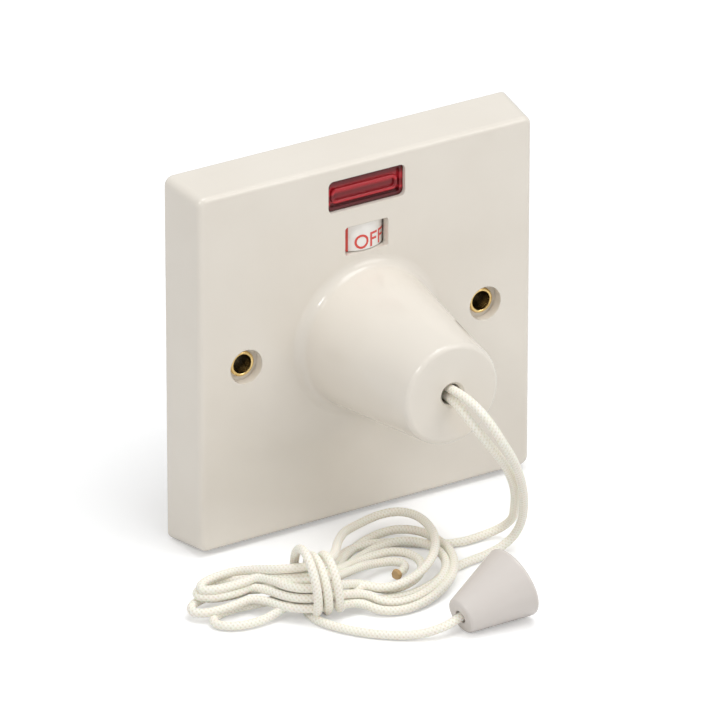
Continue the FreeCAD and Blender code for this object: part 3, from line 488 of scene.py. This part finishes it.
FINISHES = {
    "plate_plastic": plastic("warm_white_gloss", (0.80, 0.748, 0.67), (0.775, 0.72, 0.64), 0.1, 0.17),
    "pull_plastic": plastic("pinkish_white_gloss", (0.69, 0.64, 0.60), (0.675, 0.625, 0.585), 0.12, 0.2),
    "flag_plastic": plastic("flag_white", (0.90, 0.88, 0.84), (0.87, 0.85, 0.81), 0.18, 0.26),
    "box_plastic": plastic("box_pale_grey", (0.62, 0.60, 0.56), (0.57, 0.55, 0.51), 0.38, 0.52, 0.00003),
    "mechanism_plastic": plastic("inner_dark_grey", (0.035, 0.038, 0.042), (0.026, 0.028, 0.031),
                                 0.35, 0.5, 0.00003),
    "wire_sleeve": plastic("wire_sleeve_cream", (0.62, 0.56, 0.46), (0.55, 0.49, 0.40), 0.45, 0.6),
    "resistor_body": plastic("resistor_lacquer", (0.42, 0.22, 0.10), (0.36, 0.18, 0.08), 0.2, 0.35),
    "brass": metal("bright_brass", (0.86, 0.62, 0.25), (0.60, 0.40, 0.14), 0.16, 0.34),
    # painted shade: the eyelet turns dark from 2.6 mm to 4.2 mm back, deep in its bore
    "eyelet_brass": metal("eyelet_brass", (0.92, 0.68, 0.30), (0.70, 0.48, 0.18), 0.14, 0.30,
                          **{"Bore Shade From": 0.0026, "Bore Shade To": 0.0042}),
    "copper_strip": metal("copper_strip", (0.80, 0.45, 0.28), (0.52, 0.27, 0.16), 0.24, 0.42),
    "steel": metal("zinc_plate", (0.66, 0.66, 0.68), (0.46, 0.46, 0.47), 0.2, 0.42),
    "spring_steel": metal("spring_wire", (0.55, 0.56, 0.58), (0.38, 0.38, 0.40), 0.18, 0.34),
    # the darker, yellower second colour is painted shade in the braid's gaps
    "cord_braid": finish_from("cream_braid", YARN, {
        "Crown": (0.97, 0.94, 0.85), "Shaded Gap": (0.80, 0.745, 0.60), "Soil And Shade": (0.92, 0.88, 0.76)},
        {"Sheen Weight": 0.25, "Sheen Roughness": 0.5, "Subsurface Weight": 0.12,
         "Subsurface Scale": 0.0006}),
}


def lamp_glass():
    """Clear glass with a faintly clouded skin."""
    material = bpy.data.materials.new("lamp_clear_glass")
    material.use_nodes = True
    tree = material.node_tree
    shader = tree.nodes["Principled BSDF"]
    shader.inputs["Base Color"].default_value = (0.96, 0.93, 0.90, 1.0)
    shader.inputs["Transmission Weight"].default_value = 1.0
    shader.inputs["IOR"].default_value = 1.46
    place = add(tree, "TexCoord").outputs["Object"]
    cloud = add(tree, "TexNoise", {"Vector": place, "Scale": 400.0}).outputs[0]
    tree.links.new(ramp_value(tree, cloud, 0.35, 0.7, 0.02, 0.12), shader.inputs["Roughness"])
    return material


# painted highlight and shade on the lens, from its lower edge to its upper one: bright painted highlights
# along the rib's long sides, painted shade towards the edges
LENS_PAINTED_LIGHT = [(0.0, 0.13), (0.13, 0.2), (0.2, 0.34), (0.257, 1.0), (0.32, 0.5), (0.46, 0.36),
              (0.56, 0.9), (0.68, 0.85), (0.77, 0.36), (0.9, 0.2), (1.0, 0.1)]


def lens_red():
    """Clear red moulding, with painted highlights along its rib and painted shade towards its edges."""
    material = plastic("lens_clear_red", (0.86, 0.035, 0.055), (0.74, 0.025, 0.040), 0.05, 0.1,
                       0.000004, 0.0001, **{"Transmission Weight": 0.3, "IOR": 1.49})
    tree = material.node_tree
    shader = tree.nodes["Principled BSDF"]
    skin_colour = shader.inputs["Base Color"].links[0].from_socket
    low, high = NEON_WINDOW
    place = add(tree, "SeparateXYZ", {0: add(tree, "TexCoord").outputs["Object"]}).outputs["Z"]
    ramp = tree.nodes.new("ShaderNodeValToRGB")
    ramp.color_ramp.interpolation = "EASE"
    elements = ramp.color_ramp.elements
    while len(elements) < len(LENS_PAINTED_LIGHT):
        elements.new(1.0)
    for element, (position, tone) in zip(elements, LENS_PAINTED_LIGHT):
        element.position = position
        element.color = (tone, tone, tone, 1.0)
    tree.links.new(ramp_value(tree, place, low, high), ramp.inputs[0])
    # painted highlight and shade: the red is multiplied by the brightness ramp up the lens's height
    shaded = blend_colours(tree, 1.0, skin_colour, ramp.outputs[0])
    shaded.node.blend_type = "MULTIPLY"
    tree.links.new(shaded, shader.inputs["Base Color"])
    return material


FINISHES["lamp_glass"] = lamp_glass()
FINISHES["lens_red"] = lens_red()
LEGEND_INK = plastic("legend_red_ink", (0.74, 0.085, 0.065), (0.66, 0.065, 0.05), 0.3, 0.42,
                     0.000004, 0.00002)
SEALED_END = plastic("melted_cord_end", (0.60, 0.40, 0.19), (0.34, 0.18, 0.06), 0.18, 0.4,
                     0.00004, 0.0001)


def floor_paint():
    """Pale floor that looks evenly white and throws little light back up."""
    paint = plastic("studio_floor", (0.84, 0.84, 0.84), (0.83, 0.83, 0.83), 0.6, 0.75, 0.0, 0.0)
    tree = paint.node_tree
    shader = tree.nodes["Principled BSDF"]
    shader.inputs["Emission Color"].default_value = (1.0, 1.0, 1.0, 1.0)
    seen = add(tree, "LightPath").outputs["Is Camera Ray"]
    glow = add(tree, "Math", {0: seen, 1: FLOOR_GLOW}, operation="MULTIPLY").outputs[0]
    tree.links.new(glow, shader.inputs["Emission Strength"])
    return paint


def dress(piece, material):
    piece.data.materials.clear()
    piece.data.materials.append(material)


def dress_frame_nodes():
    for row in frame["record"]["subparts"]:
        dress(NODES[row["node"]], FINISHES[row["material_slot"]])
    for side in ("left", "right"):
        dress(NODES["fixing_eyelet_" + side], FINISHES["eyelet_brass"])


# ---- cords in place --------------------------------------------------------
KNOT_DEPTH = 0.0106                              # middle of the knot, from the pull's small end
KNOT_R, KNOT_WANDER = 0.00125, 0.00075
KNOT_POINTS = 26


def lathe(name, profile, start, axis, segments=48, wobble=None):
    """Solid of revolution from (distance, radius) pairs along an axis."""
    side = axis.orthogonal().normalized()
    up = axis.cross(side)
    mesh = bmesh.new()
    rings = []
    for distance, radius in profile:
        ring = []
        for i in range(segments):
            a = 2 * math.pi * i / segments
            r = radius * (wobble(a, distance) if wobble else 1.0)
            spoke = side * math.cos(a) + up * math.sin(a)
            ring.append(mesh.verts.new(start + axis * distance + spoke * r))
        rings.append(ring)
    for low, high in zip(rings, rings[1:]):
        for i in range(segments):
            k = (i + 1) % segments
            mesh.faces.new((low[i], low[k], high[k], high[i]))
    mesh.faces.new(rings[0][::-1])
    mesh.faces.new(rings[-1])
    bmesh.ops.recalc_face_normals(mesh, faces=mesh.faces)
    data = bpy.data.meshes.new(name)
    mesh.to_mesh(data)
    mesh.free()
    data.polygons.foreach_set("use_smooth", [len(p.vertices) == 4 for p in data.polygons])
    return link_mesh(name, data)


def sealed_end(line):
    """Bead of melted cord at the short end."""
    tip = Vector(line[-1])
    axis = (tip - Vector(line[-4])).normalized()
    profile = [(-0.0006, 0.00103), (-0.0003, 0.00114), (0.0001, 0.00118), (0.00035, 0.00108),
               (0.0005, 0.0008), (0.00042, 0.0004), (0.00036, 0.0001)]

    def wobble(angle, distance):
        return 1 + 0.05 * math.sin(3 * angle + 900 * distance) + 0.03 * math.sin(7 * angle)

    bead = lathe("cord_sealed_end", profile, tip, axis, 40, wobble)
    dress(bead, SEALED_END)
    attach(bead, "pull_cord")
    return bead


def stopper_knot():
    """Overhand knot inside the pull, wound from the same cord."""
    start, axis = pull_axis()
    side = axis.orthogonal().normalized()
    up = axis.cross(side)
    middle = start + axis * KNOT_DEPTH
    route = []
    for i in range(KNOT_POINTS + 1):
        t = 2 * math.pi * i / KNOT_POINTS
        ring = KNOT_R + KNOT_WANDER * math.cos(1.5 * t)
        spoke = side * math.cos(t) + up * math.sin(t)
        route.append(tuple(middle + spoke * ring + axis * (KNOT_WANDER * math.sin(1.5 * t))))
    knot, _ = braided_cord("pull_stopper_knot", route)
    dress(knot, FINISHES["cord_braid"])
    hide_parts("pull_knot")
    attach(knot, "pull_cord")
    return knot


def lay_cords():
    long_cord, long_line = braided_cord("cord_long", long_cord_route())
    short_cord, short_line = braided_cord("cord_short", short_cord_route())
    for cord, replaced in ((long_cord, ("cord_lead_front", "cord_tail", "cord_hank")),
                           (short_cord, ("cord_lead_rear",))):
        dress(cord, FINISHES["cord_braid"])
        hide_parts(*replaced)
        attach(cord, "pull_cord")
    knot, bead = stopper_knot(), sealed_end(short_line)


# ---- return spring ---------------------------------------------------------
SPRING_WIRE = 0.0005         # half thickness
SPRING_TURNS = 9             # the first and the last lie closed
CLOSED_RISE = 2.04 * SPRING_WIRE
TURN_POINTS = 48


def return_spring():
    """Coil spring with closed end turns."""
    low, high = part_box("return_spring")
    coil_r = (high.x - low.x) / 2 - SPRING_WIRE
    first, last = low.y + SPRING_WIRE, high.y - SPRING_WIRE
    rise = (last - first - 2 * CLOSED_RISE) / (SPRING_TURNS - 2)
    line = []
    for i in range(SPRING_TURNS * TURN_POINTS + 1):
        t = i / TURN_POINTS
        y = first + CLOSED_RISE * min(t, 1) + rise * min(max(t - 1, 0), SPRING_TURNS - 2)
        y += CLOSED_RISE * max(0, t - SPRING_TURNS + 1)
        a = 2 * math.pi * t
        line.append((coil_r * math.cos(a), y, PLATE_MID + coil_r * math.sin(a)))
    line = np.array(line)
    along = np.arange(len(line)) * (2 * math.pi * coil_r / TURN_POINTS)
    spring = tube_mesh("return_spring_coil", line, along, lambda around, length: SPRING_WIRE)
    dress(spring, FINISHES["spring_steel"])
    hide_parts("return_spring")
    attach(spring, "root")
    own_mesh(spring)


# ---- legends on the flag ---------------------------------------------------
LEGEND_HEIGHT = 0.0033
LEGEND_STROKE = 0.0005
LEGEND_GAP = 0.0005
LEGEND_RAISE = 0.00003
OFF_SHIFT = 0.0015           # the longer legend sits a little to the right of the window's middle
LEGEND_Z = PLATE_MID + 0.0222
ARM = 0.002                  # width of the letters with straight sides
DRUM_HEIGHT = 0.0062
DIVIDER_HALF = math.radians(9.4)


def bar(s0, z0, s1, z1, width, steps=6):
    """Straight stroke between two points of the legend, as a strip of quads."""
    dx, dz = s1 - s0, z1 - z0
    length = math.hypot(dx, dz)
    nx, nz = -dz / length * width / 2, dx / length * width / 2
    rows = []
    for i in range(steps + 1):
        t = i / steps
        s, z = s0 + dx * t, z0 + dz * t
        rows.append(((s + nx, z + nz), (s - nx, z - nz)))
    return rows


def letter_o():
    half, stroke, steps = LEGEND_HEIGHT / 2, LEGEND_STROKE, 48
    rows = []
    for i in range(steps + 1):
        a = 2 * math.pi * i / steps
        rows.append(tuple((half + r * math.cos(a), half + r * math.sin(a)) for r in (half, half - stroke)))
    return [rows], LEGEND_HEIGHT


def letter_f():
    h, w, half = LEGEND_HEIGHT, LEGEND_STROKE, LEGEND_STROKE / 2
    return [bar(half, 0, half, h, w), bar(w, h - half, ARM, h - half, w),
            bar(w, h * 0.53, ARM * 0.9, h * 0.53, w)], ARM


def letter_n():
    h, w, half = LEGEND_HEIGHT, LEGEND_STROKE, LEGEND_STROKE / 2
    wide = ARM * 1.25
    return [bar(half, 0, half, h, w), bar(wide - half, 0, wide - half, h, w),
            bar(w, h - half, wide - w, half, w)], wide


def legend(name, letters, turned, shift=0.0):
    """Word printed on the flag's drum, centred at an angle from the front."""
    shapes = [make() for make in letters]
    total = sum(width for _, width in shapes) + LEGEND_GAP * (len(shapes) - 1)
    mesh = bmesh.new()
    s = shift - total / 2
    for strokes, width in shapes:
        for rows in strokes:
            edge = []
            for pair in rows:
                ends = []
                for across, up in pair:
                    a = turned + (s + across) / FLAG_R
                    r = FLAG_R + LEGEND_RAISE
                    ends.append(mesh.verts.new((r * math.sin(a), FLAG_AXIS_Y - r * math.cos(a),
                                                LEGEND_Z + up - LEGEND_HEIGHT / 2)))
                edge.append(ends)
            for (a0, b0), (a1, b1) in zip(edge, edge[1:]):
                mesh.faces.new((a0, b0, b1, a1))
        s += width + LEGEND_GAP
    return printed(name, mesh)


def printed(name, mesh):
    """Thin layer of ink on the flag, made from a sheet of faces."""
    bmesh.ops.remove_doubles(mesh, verts=mesh.verts, dist=0.000001)
    bmesh.ops.recalc_face_normals(mesh, faces=mesh.faces)
    data = bpy.data.meshes.new(name)
    mesh.to_mesh(data)
    mesh.free()
    word = link_mesh(name, data)
    skin = word.modifiers.new("ink_thickness", "SOLIDIFY")
    skin.thickness = LEGEND_RAISE * 1.5
    skin.offset = 0.0
    dress(word, LEGEND_INK)
    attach(word, "flag")
    return word


def divider():
    """Red bar down the drum midway between the legends."""
    z0, z1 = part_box("indicator_flag")[1].z - DRUM_HEIGHT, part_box("indicator_flag")[1].z
    rows, r = 8, FLAG_R + LEGEND_RAISE
    mesh = bmesh.new()
    edge = []
    for i in range(rows + 1):
        a = -FLAG_SWING / 2 + DIVIDER_HALF * (2 * i / rows - 1)
        x, y = r * math.sin(a), FLAG_AXIS_Y - r * math.cos(a)
        edge.append([mesh.verts.new((x, y, z)) for z in (z0, z1)])
    for (a0, b0), (a1, b1) in zip(edge, edge[1:]):
        mesh.faces.new((a0, b0, b1, a1))
    return printed("flag_divider", mesh)


def print_legends():
    divider()
    legend("legend_off", [letter_o, letter_f, letter_f], 0.0, OFF_SHIFT)
    legend("legend_on", [letter_o, letter_n], -FLAG_SWING)


# ---- studio ----------------------------------------------------------------
FLOOR_HALF = 6.0
FLOOR_GLOW = 0.28
WORLD_STRENGTH = 0.5
# name, place, side of the square, watts, tint
SOFTBOXES = [
    ("softbox_above", (0.15, -0.25, 1.5), 0.9, 10.5, (0.965, 0.985, 1.0)),
    ("softbox_right", (0.9, -1.3, 0.9), 0.8, 5.4, (1.0, 0.985, 0.96)),
    ("strip_left", (-1.0, -0.5, 1.0), 0.3, 3.6, (1.0, 1.0, 1.0)),
]


def lay_floor():
    mesh = bpy.data.meshes.new("floor")
    h = FLOOR_HALF
    mesh.from_pydata([(-h, -h, 0), (h, -h, 0), (h, h, 0), (-h, h, 0)], [], [(0, 1, 2, 3)])
    floor = link_mesh("floor", mesh)
    dress(floor, floor_paint())


def softbox(name, place, size, power, tint):
    data = bpy.data.lights.new(name, "AREA")
    data.shape = "SQUARE"
    data.size = size
    data.energy = power
    data.color = tint
    box = bpy.data.objects.new(name, data)
    bpy.context.scene.collection.objects.link(box)
    box.location = place
    box.rotation_euler = (LOOKS_AT - Vector(place)).to_track_quat("-Z", "Y").to_euler()


def light_studio():
    for row in SOFTBOXES:
        softbox(*row)
    world = bpy.data.worlds.new("studio")
    world.use_nodes = True
    background = world.node_tree.nodes["Background"]
    background.inputs["Color"].default_value = (1.0, 1.0, 1.0, 1.0)
    background.inputs["Strength"].default_value = WORLD_STRENGTH
    bpy.context.scene.world = world
    bpy.context.scene.view_settings.view_transform = "Standard"


def set_camera():
    data = bpy.data.cameras.new("camera")
    data.lens = CAMERA_LENS
    camera = bpy.data.objects.new("camera", data)
    bpy.context.scene.collection.objects.link(camera)
    camera.location = CAMERA_AT
    turn = (LOOKS_AT - CAMERA_AT).to_track_quat("-Z", "Y").to_matrix()
    camera.rotation_euler = turn.to_euler()
    camera.rotation_euler.rotate_axis("Z", CAMERA_ROLL)
    bpy.context.scene.camera = camera


set_camera()
lay_cords()
dress_frame_nodes()
return_spring()
print_legends()
lay_floor()
light_studio()
